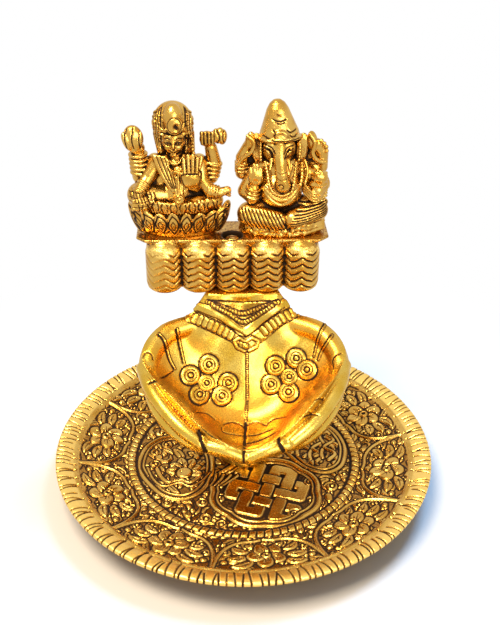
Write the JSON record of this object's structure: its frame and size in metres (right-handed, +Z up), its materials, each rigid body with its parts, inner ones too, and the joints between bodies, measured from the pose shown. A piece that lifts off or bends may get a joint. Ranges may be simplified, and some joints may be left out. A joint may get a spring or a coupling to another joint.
{
  "type": "oil lamp",
  "caption": "Cast brass oil lamp: cupped hands form the oil bowl on a dished plate and carry a lobed throne with seated Lakshmi and Ganesha figures.",
  "frame": {"origin": "centre of the foot ring's resting face under the plate", "axes": "+Z up, -Y towards the open front of the cupped hands, +X to the viewer's right"},
  "size_m": [0.127, 0.127, 0.1219],
  "materials": {
    "antique_gold": "gold-lacquered cast brass with dark antiquing in the recesses",
    "polished_gold": "gold-lacquered cast brass, brightly rubbed, with dark engraved lines",
    "zinc_steel": "zinc-plated steel fastener"
  },
  "bodies": {
    "root": {"plate": "antique_gold", "hands_bowl": "polished_gold", "throne": "antique_gold", "lakshmi_figure": "antique_gold", "ganesha_figure": "antique_gold", "throne_screw": "antique_gold", "throne_washer": "antique_gold", "bowl_screw": "zinc_steel", "bowl_washer": "zinc_steel", "lakshmi_screw": "zinc_steel", "ganesha_screw": "zinc_steel"}
  },
  "joints": []
}
